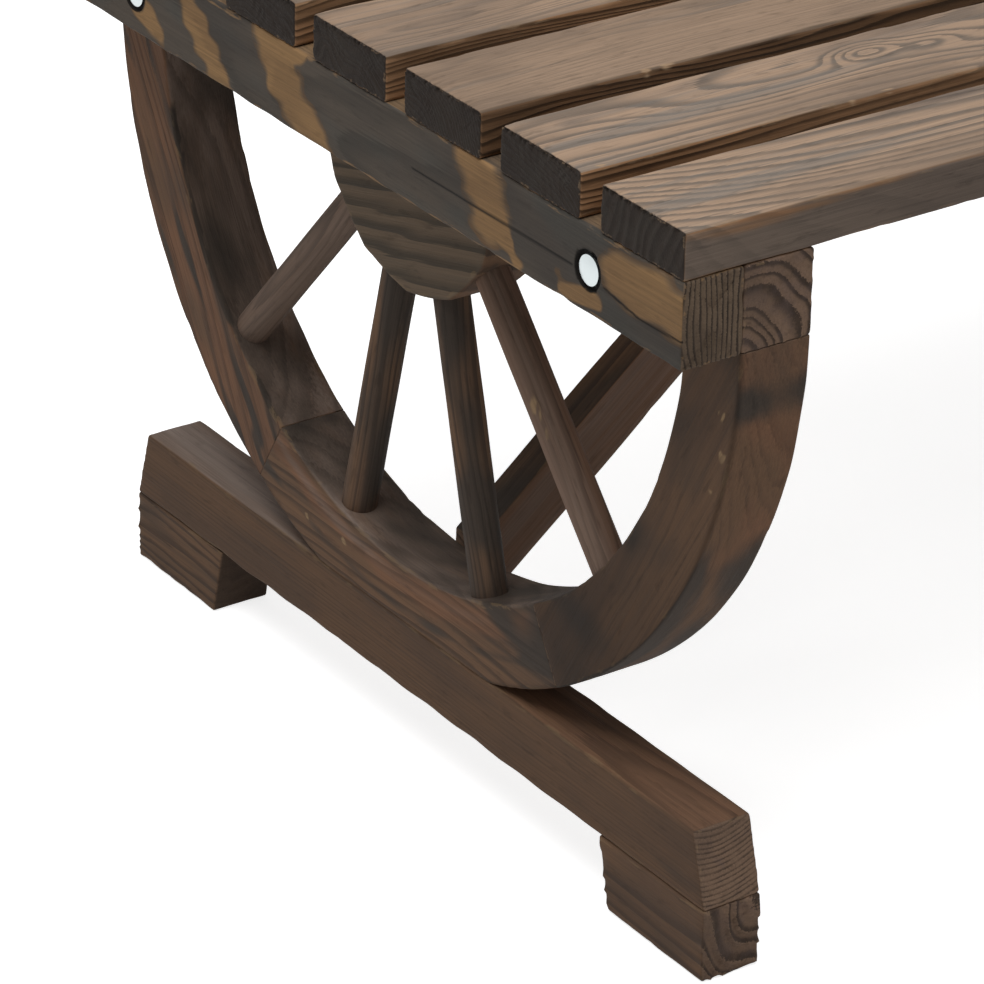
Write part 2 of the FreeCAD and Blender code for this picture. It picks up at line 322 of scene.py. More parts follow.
firNoise = {"fibres": ((0.012, 0.9, 0.9), 4.0, 0.6),  # about 1 mm across, 80 mm long
            "streaks": ((0.003, 0.10, 0.10), 3.0, 0.55),  # about 10 mm across, 300 mm long
            "scorch": ((0.007, 0.022, 0.022), 3.0, 0.5),  # about 45 mm across, 140 mm long
            "scuffs": ((0.05, 0.22, 0.22), 3.0, 0.6)}  # about 4 mm across, 20 mm long
firLine = {"wander": 0.4, "full": 0.80, "calm": -0.2}  # late wood lines, in shares of a ring
firFall = {"From Min": 0.88, "From Max": 1.0, "To Min": 1.0, "To Max": 0.0}  # quick, at the end of a ring
firStrength = {"From Min": 0.3, "From Max": 0.6, "To Min": 0.6, "To Max": 1.0}  # lines fade in patches
firRagged = {"soot": ("scorch", 0.9), "gold": ("streaks", 0.6), "brushed": ("streaks", 0.5)}
firBorder = {"whole": (0.0, 1.0), "streaks": (0.44, 0.66), "clouds": (0.45, 0.62), "gold": (0.55, 1.0),
             "brushed": (0.6, 1.0), "soot": (0.75, 1.15), "end": (0.45, 0.85), "pits": (0.55, 0.72),
             "rubbed": (0.52, 0.64), "scar": (0.3, 0.7)}  # values of a mask between bare and painted
firShade = {"From Min": 0.28, "From Max": 0.72, "To Min": 0.78, "To Max": 1.18}  # fibres, darker and paler
firRough = {"From Min": 0.2, "From Max": 0.8, "To Min": 0.65, "To Max": 0.85}
firLook = {"rub": 0.3, "burnt": "#16110e", "pits": 0.25, "lineFrom": 0.35, "lineBump": 0.4}  # the usual
firSurface = {"specular": 0.12, "ior": 1.5, "bump": 0.45, "bumpDepth": 0.7, "scar": 0.8}


def charredFir(name, look):
    # carbonised fir: scorched with a flame, then wire brushed, so the soft early wood is eaten back and
    # brown, the late wood stands as darker lines, soot stays in grey clouds, sawn ends are darkest and
    # the arrises are rubbed paler; dry and matt
    material, tree = newMaterial(name)
    add, look = partial(addNode, tree), {**firLook, **look}
    grain = add("Attribute", out="Vector", attribute_name="grain")
    mark = {key: add("Attribute", out="Fac", attribute_name=key)
            for key in ("ring", "endGrain", "edge", "brushed", "soot", "gold", "burn", "plain", "scar")}
    noise = {}
    for key, (scale, detail, rough) in firNoise.items():
        spread = add("VectorMath", {0: grain, 1: scale}, operation="MULTIPLY")
        noise[key] = add("TexNoise", {"Vector": spread, "Scale": 1.0, "Detail": detail, "Roughness": rough})

    wandering = add("Math", {0: noise["fibres"], 1: firLine["wander"], 2: mark["ring"]},
                    operation="MULTIPLY_ADD")
    phase = add("Math", {0: wandering}, operation="FRACT")
    rise = add("MapRange", {"Value": phase, "From Min": look["lineFrom"], "From Max": firLine["full"]},
               interpolation_type="SMOOTHSTEP")
    fall = add("MapRange", {"Value": phase, **firFall}, interpolation_type="SMOOTHSTEP")
    strong = add("MapRange", {"Value": noise["streaks"], **firStrength})
    strong = add("Math", {0: strong, 1: mark["plain"]}, operation="SUBTRACT", use_clamp=True)
    line = add("Math", {0: rise, 1: fall}, operation="MULTIPLY")
    late = add("Math", {0: line, 1: strong}, operation="MULTIPLY")
    streaky = add("Math", {0: mark["plain"], 1: firLine["calm"], 2: noise["streaks"]},
                  operation="MULTIPLY_ADD")

    def toned(tone):
        # late wood lines over early wood, then long streaks, then broad scorched clouds
        return layered(tree, linear(tone["early"]),
                       [(late, "whole", tone["lines"], linear(tone["late"])),
                        (streaky, "streaks", tone["streaks"], linear(tone["streak"])),
                        (noise["scorch"], "clouds", tone["clouds"], linear(tone["cloud"]))])

    # marks with ragged borders: the attribute plus a share of noise
    ragged = {key: add("Math", {0: noise[pattern], 1: amount, 2: mark[key]}, operation="MULTIPLY_ADD")
              for key, (pattern, amount) in firRagged.items()}
    rubbed = add("Math", {0: mark["edge"], 1: noise["scuffs"]}, operation="MULTIPLY")
    colour = layered(tree, toned(look["sawn"]),
                     [(ragged["gold"], "gold", 1.0, toned(look["gold"])),
                      (ragged["brushed"], "brushed", 1.0, toned(look["brushed"])),
                      (ragged["soot"], "soot", 1.0, toned(look["soot"])),
                      (mark["endGrain"], "end", 1.0, toned(look["end"])),
                      (noise["scuffs"], "pits", look["pits"], linear(look["burnt"])),
                      (rubbed, "rubbed", look["rub"], linear(look["rubbed"])),
                      (mark["burn"], "whole", 1.0, linear(look["burnt"])),
                      (mark["scar"], "scar", firSurface["scar"], linear(look["rubbed"]))])
    shade = add("MapRange", {"Value": noise["fibres"], **firShade})
    colour = add("Mix", {0: 1.0, 6: colour, 7: shade}, 2, data_type="RGBA", blend_type="MULTIPLY")

    height = add("Math", {0: late, 1: look["lineBump"], 2: noise["fibres"]}, operation="MULTIPLY_ADD")
    bump = add("Bump", {"Height": height, "Strength": firSurface["bump"],
                        "Distance": firSurface["bumpDepth"] * mm})
    rough = add("MapRange", {"Value": noise["fibres"], **firRough})
    shader = add("BsdfPrincipled", {"Base Color": colour, "Roughness": rough, "Normal": bump,
                                    "Specular IOR Level": firSurface["specular"], "IOR": firSurface["ior"]})
    add("OutputMaterial", {"Surface": shader})
    return material


def plainMaterial(name, colour, metallic, rough):
    material, tree = newMaterial(name)
    shader = addNode(tree, "BsdfPrincipled", {"Base Color": linear(colour), "Metallic": metallic,
                                              "Roughness": rough})
    addNode(tree, "OutputMaterial", {"Surface": shader})
    return material


def tones(*values):
    # colour of early wood, then colours and shares of late wood lines, streaks and scorched clouds
    return dict(zip(("early", "late", "lines", "streak", "streaks", "cloud", "clouds"), values))


# the slats' sawn faces are painted paler than the wood, as painted light in the shaded gaps between the
# slats
slatLook = {"sawn": tones("#9a7454", "#36271b", 0.95, "#74583f", 0.4, "#6b543f", 0.4),
            "brushed": tones("#9c846f", "#5c544d", 0.82, "#777069", 0.65, "#756456", 0.5),
            "soot": tones("#75675c", "#4b443e", 0.8, "#655b53", 0.5, "#5b5049", 0.4),
            "gold": tones("#87624c", "#523b2f", 0.8, "#735444", 0.5, "#674c3e", 0.5),
            "end": tones("#322b26", "#201a17", 0.5, "#35302b", 0.5, "#241e1b", 0.4),
            "rubbed": "#a1876b", "lineFrom": 0.30, "lineBump": 0.7}
railLook = {"sawn": tones("#554d45", "#3a3631", 0.6, "#4a433c", 0.6, "#3f3a36", 0.6),
            "brushed": tones("#6d533a", "#4d3c2d", 0.5, "#5f4934", 0.5, "#4f4031", 0.5),
            "soot": tones("#524e48", "#35332f", 0.65, "#484540", 0.6, "#3e3b37", 0.6),
            "gold": tones("#927350", "#735a40", 0.4, "#83684a", 0.5, "#775d43", 0.5),
            "end": tones("#6e5d4d", "#1f1a16", 0.95, "#5a4b40", 0.3, "#40362e", 0.3),
            "rubbed": "#8f7253", "rub": 0.6, "burnt": "#110e0c", "pits": 0.2}
frameLook = {"sawn": tones("#6d5441", "#3b3029", 0.8, "#4b3f36", 0.5, "#54443a", 0.5),
             "brushed": tones("#82746b", "#5a4e46", 0.6, "#7a675a", 0.6, "#6a5a4f", 0.5),
             "soot": tones("#473e37", "#302a25", 0.6, "#413933", 0.5, "#38322d", 0.5),
             "gold": tones("#7a5a45", "#4d392c", 0.75, "#6b5040", 0.4, "#5f4839", 0.4),
             "end": tones("#7b6453", "#2b231e", 0.95, "#685750", 0.4, "#54463d", 0.4),
             "rubbed": "#947b5d"}
hubLook = {**frameLook, "end": tones("#6c5c4c", "#3d372f", 0.9, "#594f44", 0.4, "#4e473d", 0.5),
           "lineFrom": 0.15}
slatFir = charredFir("slat_fir_look", slatLook)
railFir = charredFir("rail_fir_look", railLook)
frameFir = charredFir("frame_fir_look", frameLook)
hubFir = charredFir("hub_fir_look", hubLook)
print("wood materials made")

# zinc-plated steel: bright, faintly blue-grey, softly reflecting
zincSteel = plainMaterial("zinc_steel_look", "#c3cacb", 1.0, 0.34)
# blackened wood screws: dark oxide steel
screwSteel = plainMaterial("screw_steel_look", "#4a4a4c", 1.0, 0.45)
# turned beech dowels: pale, close grained, smooth
dowelBeech = plainMaterial("dowel_beech_look", "#b58d63", 0.0, 0.6)
fittings = {"carriage_bolts": zincSteel, "bolt_washers": zincSteel, "bolt_nuts": zincSteel,
            "slat_screws": screwSteel, "seat_screws": screwSteel, "foot_screws": screwSteel,
            "dowels": dowelBeech}
for node, material in fittings.items():
    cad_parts[node].data.materials.clear()
    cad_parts[node].data.materials.append(material)
print("fittings painted")


# Slats: boards along X with worn arrises, brushed paler on top, partly as a painted sheen of top light

slatShape = {"corner": 2.6, "edge": 1.4, "wear": 0.2, "columnStep": 1.2}
slatBoard = {"sideRelief": 0.35, "endRelief": 0.7, "nicks": 2.0, "ring": 3.3, "bend": 3.0, "scars": [],
             "strokes": [], "outer": 0, "scorched": 0.0}  # where a slat has no other
# tone: soot, redness, darkening and plainness of the top; scars: x, across, size; strokes of soot: ends,
# radius, share; outer: the side that the weather reaches; scorched: the side that faces the next slat
slats = {"slat_1": {"pith": (-96, -40), "ring": 7.0, "taper": 0.02, "uneven": 0.5,
                    "sweeps": [(-450, -30, 70)], "tone": (0.0, 0.0, 0.0, 0.0), "outer": -1, "seed": 11,
                    "strokes": [(-370, 27, -180, 31, 9, 0.5), (-300, -4, 60, 6, 6, 0.35)]},
         "slat_2": {"pith": (22, -62), "taper": -0.02, "uneven": 0.6,
                    "knots": [(-236, 13, 10, 3.8), (-198, 6, 8, 1.7)], "tone": (0.25, 0.05, 0.05, 0.0),
                    "scars": [(-280, -34, 1.2), (-258, -34, 1.5), (-437, -34, 1.2)], "seed": 12,
                    "strokes": [(-300, 24, -190, 22, 12, 0.2), (-420, 18, -330, 26, 8, 0.4)]},
         "slat_3": {"pith": (40, -50), "ring": 2.4, "bend": 2.5, "uneven": 0.4, "scorched": 0.5, "seed": 13,
                    "tone": (0.15, 0.15, 0.28, 0.5), "scars": [(-333, -33.5, 1.8), (-347, -34, 1.2)]},
         "slat_4": {"pith": (15, -60), "bend": 5.0, "tone": (0.20, 0.2, 0.0, 0.2), "seed": 14},
         "slat_5": {"pith": (10, -62), "bend": 4.0, "tone": (0.25, 0.4, 0.05, 0.2), "seed": 15},
         "slat_6": {"pith": (-80, 40), "ring": 4.4, "tone": (0.3, 0.15, 0.05, 0.0), "seed": 16},
         "slat_7": {"pith": (55, -45), "ring": 4.8, "bend": 4.0, "tone": (0.15, 0.25, 0.0, 0.0), "seed": 17,
                    "outer": 1}}
slatScar = {"border": 1.6, "long": 2.5, "above": 9, "ragged": ((6, 3, 3), 0.7, 0.5)}
outerSide = {"plain": 0.6, "soot": 0.8, "dark": 0.2}
redBand = {"up": (3, 8), "patches": ((150, 20, 9), 0.5, 0.4), "share": 0.6}


def slatMarks(slat, points, normals, rng):
    # only the top was brushed hard, out to the arrises, and its paler, greyer tone is partly a painted
    # sheen of top light; an outer side is weathered plain and has a reddish band under the arris, in
    # patches
    x, y, z = np.moveaxis(points, -1, 0)
    soot, red, dark, plain = slat["tone"]
    # the top's paler, greyer tone is partly brushing and partly a painted sheen of top light
    top = ramp(normals[..., 2], *faceTurn)
    strokes = sum(stroke[5] * band(toSegment(x, y, stroke), 0, stroke[4]) for stroke in slat["strokes"])
    scar = 0 * top
    for along, across, size in slat["scars"]:
        away = np.hypot((x - along) / slatScar["long"], y - across)
        scar = scar + spot(away, size, slatScar["border"]) * (z > slatScar["above"])
    weathered = np.clip(slat["outer"] * normals[..., 1], 0, 1)
    scorched = slat["scorched"] * np.clip(-normals[..., 1], 0, 1)
    under = weathered * ramp(z, *redBand["up"]) * patchy(rng, points, *redBand["patches"])
    return {"brushed": top, "gold": red * top + redBand["share"] * under,
            "soot": top * (soot + strokes) + outerSide["soot"] * weathered - redBand["share"] * under,
            "burn": dark * top + scorched + outerSide["dark"] * weathered,
            "plain": plain * top + outerSide["plain"] * weathered,
            "scar": scar * patchy(rng, points, *slatScar["ragged"])}


for node, cut in slats.items():
    slat, (centre, half) = {**slatBoard, **cut}, nodeBox(node)
    grid = barGrid(2 * half[0], half[1], half[2], slatShape, slat["seed"])
    woodPiece(node, slatFir, grid, lambda points: points + centre, slat, slat["seed"],
              partial(slatMarks, slat))
print("slats made")


# Bars across the table: inner bars, batten, foot beams with slanted ends, and foot blocks

barShape = {"corner": 2.0, "edge": 1.4, "wear": 0.3}
beamSlant = 12.0  # the beam's top is shorter than its bottom by this at each end
footSlant = 10.0  # the foot's bottom is shorter than its top by this at the inner end
plainBar = {"top": 0.0, "red": 0.0, "plain": 0.0, "shadedEnd": 0.0, "dark": (0.0, 0.0)}
# soot all over; a top brushed at one end and red at the other; plain sides; painted shade on the end that
# faces the middle of the table; darkened sides and ends
bars = {"inner_bar": {"pith": (-25, -20), "ring": 6.5, "soot": 0.2, "seed": 32},
        "foot_beam": {"pith": (90, -6), "ring": 2.9, "bend": 1.2, "wiggle": 0.1, "uneven": 0.3,
                      "endRelief": 0.4, "soot": 0.05, "top": 0.95, "red": 0.5, "plain": 0.5,
                      "dark": (0.32, 0.05), "seed": 33},
        "foot_right": {"pith": (24, 24), "ring": 9.5, "endRelief": 3.0, "soot": 0.15, "shadedEnd": 0.65,
                       "dark": (0.2, 0.2), "seed": 34},
        "foot_left": {"pith": (64, -4), "ring": 8.5, "wiggle": 0.8, "endRelief": (0.4, 3.4), "soot": 0.25,
                      "shadedEnd": 0.65, "dark": (0.16, 0.0), "seed": 35},
        "centre_batten": {"pith": (-40, 30), "ring": 4.5, "soot": 0.3, "seed": 36}}
barClouds = ((160, 60, 60), 0.15)  # lengths, swing
beamTop = {"passing": 260, "edge": 0.6, "crown": 0.4, "half": 9}  # grey passes to red over this length
lessPlain = {"ends": 0.5, "redTop": 0.6}


def barPlace(node, centre, half, points):
    # u runs across the table and v upwards; slanted ends shorten the bar with its height
    u, v, w = np.moveaxis(points, -1, 0)
    rise = (v + half[2]) / (2 * half[2])
    y = centre[1] + u
    if "foot_beam" in node:
        y = centre[1] + u * (1 - beamSlant / half[1] * rise)
    elif "foot_" in node:
        outer = np.sign(centre[1])
        fromOuter = half[1] - outer * u  # distance from the plumb outer end
        y = centre[1] + outer * (half[1] - fromOuter * (1 - footSlant / (2 * half[1]) * (1 - rise)))
    return np.stack([centre[0] + w, y, centre[2] + v], axis=-1)


def barMarks(bar, end, outer, points, normals, rng):
    # soot in clouds, and what the bar has of the marks above
    u, w = points[..., 0], points[..., 2]
    cloud = cloudy(rng, points, *barClouds, bar["soot"])
    top = ramp(normals[..., 1], *faceTurn)
    onEnds, onSides = np.abs(normals[..., 0]), np.abs(normals[..., 2])
    grey = np.clip(0.5 + (-1 if end == "far" else 1) * u / beamTop["passing"], 0, 1)
    crown = beamTop["edge"] + beamTop["crown"] * band(w, 0, beamTop["half"])
    # painted shade: the end facing the middle of the table is made plain and dark
    shadedEnd = bar["shadedEnd"] * np.clip(-outer * normals[..., 0], 0, 1)
    plain = (1 - lessPlain["ends"] * onEnds) * (1 - lessPlain["redTop"] * top * (1 - grey))
    return {"soot": cloud, "gold": bar["red"] * top * (1 - grey), "plain": bar["plain"] * plain + shadedEnd,
            "brushed": bar["top"] * top * grey * crown,
            "burn": np.maximum(shadedEnd, bar["dark"][0] * onSides + bar["dark"][1] * onEnds)}


for base, cut in bars.items():
    for end in ("near",) if base == "centre_batten" else ("near", "far"):
        node = base if base == "centre_batten" else f"{base}_{end}"
        (centre, half), seed, bar = nodeBox(node), seedAt(end, cut["seed"]), {**plainBar, **cut}
        if end == "far" and np.ndim(bar.get("endRelief")):
            bar["endRelief"] = bar["endRelief"][::-1]  # the rough end stays on the same side of the foot
        grid = barGrid(2 * half[1], half[2], half[0], barShape, seed)
        woodPiece(node, frameFir, grid, partial(barPlace, node, centre, half), bar, seed,
                  partial(barMarks, bar, end, np.sign(centre[1])))
print("bars made")


# End rails: flat sawn, so unscorched early wood shows as golden patches, with the bolt heads set in
# round recesses that are painted dark as shade

railShape = {**barShape, "columnStep": 1.2, "rowStep": 3.0}
railCut = {"pith": (4, 150), "ring": 3.3, "bend": 3.0, "taper": 0.01, "endRelief": 1.5, "uneven": 0.25,
           "seed": 31}
# scorch is how far past the rim of a recess its painted shade reaches
boltRecess = {"places": (-218.5, 218.5), "radius": 11.0, "depth": 2.4, "reach": 19.0, "wall": 0.1,
              "rings": (0, 3, 6, 9), "outerRings": (13, 15, 17), "scorch": 0.5, "flat": 0.99}
goldPatches = [(84, 24, 68, 4, 12), (60, 22, 50, 22, 8), (62, 0, 30, -22, 12), (164, 16, 128, -22, 8),
               (226, 0, 190, -18, 6), (-118, 24, -132, 0, 17), (-136, 0, -156, -20, 5),
               (-245, 8, -300, 6, 13), (-196, -18, -228, -16, 5)]  # ends of a stroke, radius
goldBorder = {"waves": (60, 24, 24), "wobble": 3.0, "reach": 1.6, "share": 1.3, "soot": 2,
              "brown": (0.28, 0.13), "brownShare": 0.6}
cracks = [(-60, -3, -205, -2), (-232, -4, -262, -9), (-262, -9, -299, -8)]
crackLook = {"half": 0.9, "border": 1.3, "most": 0.9}
railClouds = ((120, 50, 50), 0.4, 0.25)
railTop = {"from": 0.7, "gold": 0.45, "soot": 0.3}  # bare wood shows there between the slats
railBack = {"gold": 0.15, "soot": 0.1}
# a painted highlight: a pale stretch along the lower front arris of the rail
arrisHighlight = {"level": -23.3, "half": 1.1, "border": 1.6, "from": -160, "to": 6,
             "patches": ((30, 9, 9), 0.6, 0.6)}


def railMarks(side, recessShade, points, normals, rng):
    # golden patches with browner borders in clouds of soot, cracks, a painted highlight along a stretch of
    # the lower arris and painted shade in the bolt recesses
    u, v = -side * points[..., 0], points[..., 1]
    onFront, onTop = normals[..., 2] * side > faceTurn[0], normals[..., 1] > railTop["from"]
    wobble = goldBorder["wobble"] * waves(rng, points, goldBorder["waves"])
    gold = sum(spot(toSegment(u, v, patch) + wobble, goldBorder["reach"] * patch[4], 1)
               for patch in goldPatches)
    crack = sum(spot(toSegment(u, v, line), crackLook["half"], crackLook["border"]) for line in cracks)
    cloud = patchy(rng, points, *railClouds)
    paintedHighlight = spot(np.abs(v - arrisHighlight["level"]), arrisHighlight["half"], arrisHighlight["border"])
    paintedHighlight = paintedHighlight * (u > arrisHighlight["from"]) * (u < arrisHighlight["to"])
    golden = np.clip(goldBorder["share"] * gold, 0, 1)
    sooty = cloud * (1 - np.clip(goldBorder["soot"] * gold, 0, 1))
    brown = goldBorder["brownShare"] * band(gold, *goldBorder["brown"])
    return {"gold": np.where(onFront, golden, np.where(onTop, railTop["gold"], railBack["gold"])),
            "soot": np.where(onFront, sooty, np.where(onTop, railTop["soot"], railBack["soot"])),
            "brushed": np.where(onFront, brown, 0),
            "scar": paintedHighlight * patchy(rng, points, *arrisHighlight["patches"]),
            "burn": np.maximum(recessShade, np.where(onFront, np.clip(crack, 0, crackLook["most"]), 0))}


for end, side in (("near", -1), ("far", 1)):
    node, seed = "end_rail_" + end, seedAt(end, railCut["seed"])
    centre, half = nodeBox(node)
    radius, reach, wall = boltRecess["radius"], boltRecess["reach"], boltRecess["wall"]
    steps = np.array([*boltRecess["rings"], radius - wall, radius + wall, *boltRecess["outerRings"], reach])
    steps = np.union1d(steps, -steps)
    marksU = np.concatenate([place + steps for place in boltRecess["places"]])
    grid = barGrid(2 * half[1], half[2], half[0], railShape, seed, marksU, steps)
    points, front = grid[0], grid[1][..., 2] * side > boltRecess["flat"]
    recessShade = np.zeros(front.shape)
    for place in boltRecess["places"]:
        # square rings of the grid round the bolt become circles, and those inside drop to the recess floor
        du, dv = points[..., 0] - place, points[..., 1]
        ring = np.maximum(np.abs(du), np.abs(dv))
        share = np.where(front, np.clip((reach - ring) / (reach - radius), 0, 1), 0)
        scale = 1 + share * (ring / np.maximum(np.hypot(du, dv), 1e-6) - 1)
        points[..., 0], points[..., 1] = place + du * scale, dv * scale
        points[..., 2] -= side * boltRecess["depth"] * (front & (ring < radius))
        # painted shade: the recess and a narrow rim round it take the burnt colour
        dark = np.clip((radius + boltRecess["scorch"] - ring) / boltRecess["scorch"], 0, 1)
        recessShade = np.maximum(recessShade, np.where(front, dark, 0))
    woodPiece(node, railFir, grid, partial(barPlace, node, centre, half), railCut, seed,
              partial(railMarks, side, recessShade))
print("end rails made")


# Half wheels: felloes bent round the centre, and spokes

wheel = {"level": 370.0, "outer": 297.5, "inner": 250.5, "front": -413.0, "back": -370.0, "seat": 86.0,
         "span": 60}  # the span of a felloe, in degrees
wheelMiddle = (wheel["front"] + wheel["back"]) / 2
rimMiddle = (wheel["outer"] + wheel["inner"]) / 2
felloeShape = {"corner": 1.8, "edge": 0.8, "wear": 0.3, "rowStep": 4.0}
plainFelloe = {"endRelief": 0.1, "soot": 0.0, "inside": 0.40, "outside": 0.0, "plain": 0.0, "dark": 0.0,
               "scars": []}  # soot all over, inside and outside the ring; scars: degrees, radius, size
felloes = {"felloe_1": {"pith": (60, 60), "ring": 9.5, "bend": 4.0, "seed": 51},
           "felloe_2": {"pith": (60, 50), "ring": 8.0, "bend": 3.0, "soot": 0.05, "plain": 0.1, "seed": 52,
                        "scars": [(77.1, 268.9, 3), (69.5, 280.0, 2)]},
           "felloe_3": {"pith": (-40, -45), "ring": 5.0, "bend": 4.0, "soot": 0.30, "inside": 0.20,
                        "outside": 0.10, "plain": 0.5, "dark": 0.40, "seed": 53,
                        "scars": [(174.3, 289.8, 2), (172.1, 286.0, 3), (168.5, 277.7, 1.5),
                                  (167.8, 291.5, 2.8), (163, 289, 1.5)]}}
felloeScar = {"border": 1.6, "ragged": ((6, 4, 4), 0.7, 0.5)}
felloeBlotch = {"waves": (90, 50, 50), "soot": 0.15, "calm": 0.5, "gold": 0.2}  # calmer inside the ring
felloeFaces = {"front": 0.9, "outerGold": 0.4, "innerBrushed": 0.6, "innerPlain": 0.1, "outerDark": 0.5}
darkEnd = {"slope": 0.7, "lowest": -0.6}  # darker towards the foot
# painted shade: a dark line along the outer front arris
arrisShadeLine = {"from": (1.8, 0.15), "share": 0.5}  # along the outer front
grainBands = {"spacing": 22, "waves": (120, 40, 40), "wander": 2.5, "steep": 1.5, "gap": 0.3, "soot": 0.5,
              "gold": 0.6}  # on the front of the first felloe
jointSoot = {"from": (0.72, 0.2), "slant": 0.22, "most": 0.6, "inside": 0.7, "left": 0.35}  # of the second
frontBand = {"place": (3, 4.5), "bow": 8, "soot": 0.55}
tanBand = {"place": (-13, 9), "gold": 0.9, "pale": (-14, 8), "paleShare": 0.4, "leftMore": 0.12}
outerWindow = {"from": (0.05, 1 / 4), "blotch": (0.8, 0.09), "soot": 0.15, "paler": 0.45}  # of the third
outerStripe = {"from": (0.3, 1 / 3), "ragged": 0.25, "end": (-0.55, 1 / 4), "soot": 0.35}


def felloePlace(first, last, points):
    # the bar's length becomes an arc and its w the distance from the middle of the rim
    u, v, w = np.moveaxis(points, -1, 0)
    length = math.radians(last - first) * rimMiddle
    angle = math.radians((first + last) / 2) + u / length * math.radians(last - first)
    radius = rimMiddle + w
    z = np.maximum(wheel["level"] - radius * np.sin(angle), wheel["seat"])
    return np.stack([wheelMiddle - v, radius * np.cos(angle), z], axis=-1)


def felloeGrain(first, last, points):
    # sawn from a straight plank: the grain runs along the chord
    middle = math.radians((first + last) / 2)
    shaped = felloePlace(first, last, points)
    y, z = shaped[..., 1], shaped[..., 2] - wheel["level"]
    return np.stack([-y * math.sin(middle) - z * math.cos(middle), points[..., 1],
                     y * math.cos(middle) - z * math.sin(middle) - rimMiddle], axis=-1)


def felloeMarks(base, felloe, middle, points, normals, rng):
    # soot inside the ring and beside the joints, blotches outside, a painted shade line along the outer
    # front arris, and chips of bare wood on the front
    faces, (u, v, w) = felloeFaces, np.moveaxis(points, -1, 0)
    along, fore, outward = u / np.abs(u).max(), v / np.abs(v).max(), w / np.abs(w).max()
    front = fore > faces["front"]
    blotch = waves(rng, points, felloeBlotch["waves"])
    inside, outside = np.clip(-normals[..., 2], 0, 1), np.clip(normals[..., 2], 0, 1)
    soot = felloe["soot"] + felloeBlotch["soot"] * blotch * (1 - felloeBlotch["calm"] * inside)
    soot = soot + felloe["inside"] * inside + felloe["outside"] * outside
    gold, pale = faces["outerGold"] * outside + felloeBlotch["gold"] * blotch, 0 * u
    if base == "felloe_1":
        # dark bands with the grain
        across = (rimMiddle + w) * np.cos(u / rimMiddle)
        across = across + grainBands["wander"] * waves(rng, points, grainBands["waves"])
        swing = grainBands["steep"] * np.sin(2 * np.pi * across / grainBands["spacing"])
        soot = soot + grainBands["soot"] * np.clip(swing - grainBands["gap"], 0, 1) * front
        gold = gold + grainBands["gold"] * front
    if base == "felloe_2":
        # soot at the joints, less at the left one, and a dark and a tan band along the front
        byJoint = ramp(np.abs(along) - jointSoot["slant"] * outward, *jointSoot["from"])
        byJoint = np.minimum(byJoint, jointSoot["most"]) * np.where(along < 0, jointSoot["left"], 1)
        soot = soot + byJoint * (1 - jointSoot["inside"] * inside)
        bowed = w - frontBand["bow"] * along ** 2
        soot = soot + frontBand["soot"] * band(bowed, *frontBand["place"]) * front
        gold = gold + tanBand["gold"] * band(w, *tanBand["place"]) * front
        pale = tanBand["paleShare"] + tanBand["leftMore"] * np.clip(0.5 - 2 * along, 0, 1)
        pale = pale * band(w, *tanBand["pale"]) * front
    if base == "felloe_3":
        # paler outside towards the top, but for one blotch, and a ragged stripe lower down
        window = ramp(along, *outerWindow["from"]) * (1 - band(along, *outerWindow["blotch"]))
        stripe = ramp(fore - outerStripe["ragged"] * blotch, *outerStripe["from"])
        stripe = outerStripe["soot"] * stripe * ramp(-along, *outerStripe["end"])
        soot = soot + outside * (outerWindow["soot"] - outerWindow["paler"] * window + stripe)
    scar = 0 * u
    for angle, radius, size in felloe["scars"]:
        away = np.hypot(u - math.radians(angle - middle) * rimMiddle, w - radius + rimMiddle)
        scar = scar + spot(away, size, felloeScar["border"])
    dark = felloe["dark"] * (1 - faces["outerDark"] * outside)
    dark = dark * (1 - darkEnd["slope"] * np.maximum(along, darkEnd["lowest"]))
    # the painted shade line along the outer front arris
    arris = arrisShadeLine["share"] * ramp(fore + outward, *arrisShadeLine["from"])
    return {"soot": soot, "gold": np.clip(gold, 0, 1), "brushed": faces["innerBrushed"] * inside + pale,
            "plain": felloe["plain"] + faces["innerPlain"] * inside, "burn": np.maximum(dark, arris),
            "scar": scar * front * patchy(rng, points, *felloeScar["ragged"])}


spokeFan = {"rise": 18.0, "step": 28.0, "setback": 14.0, "radius": 10.25, "inner": 53.0, "outer": 268.5}
spokeShape = {"corner": spokeFan["radius"], "edge": 0.8, "wear": 0.0, "rowStep": 4.0, "arcSteps": 9}
spokeCut = {"pith": (22, 5), "ring": 4.0, "endRelief": 0.1, "sideRelief": 0.1, "chips": 0.0, "rub": 0.0,
            "seed": 61}
plainSpoke = {"soot": 0.0, "more": 0.0, "place": (0.0, 1.0), "brushed": 0.0, "gold": 0.0, "scar": 0}
spokeTones = [{**plainSpoke, "brushed": 0.53, "gold": 0.3},
              {**plainSpoke, "soot": 0.65, "more": -0.35, "place": (0.5, 0.25)},
              {**plainSpoke, "soot": 0.55, "more": 0.40, "place": (0.18, 0.11)},
              {"soot": -0.1, "more": 0.1, "place": (0.4, 0.3), "brushed": 0.53, "gold": 0.7, "scar": 1}]
spokeClouds = ((120, 30, 30), 0.2)
spokeScar = {"long": 16, "across": -4, "wide": 3, "border": 1.5, "ragged": ((12, 3, 3), 0.5, 0.6, 0.8)}


def spokeReach(angle):
    # the spokes fan out from a point above the wheel's centre, and end on two circles about the centre
    rise, aside = spokeFan["rise"] * math.sin(angle), spokeFan["rise"] * math.cos(angle)
    return [rise + math.sqrt(radius ** 2 - aside ** 2) for radius in (spokeFan["inner"], spokeFan["outer"])]


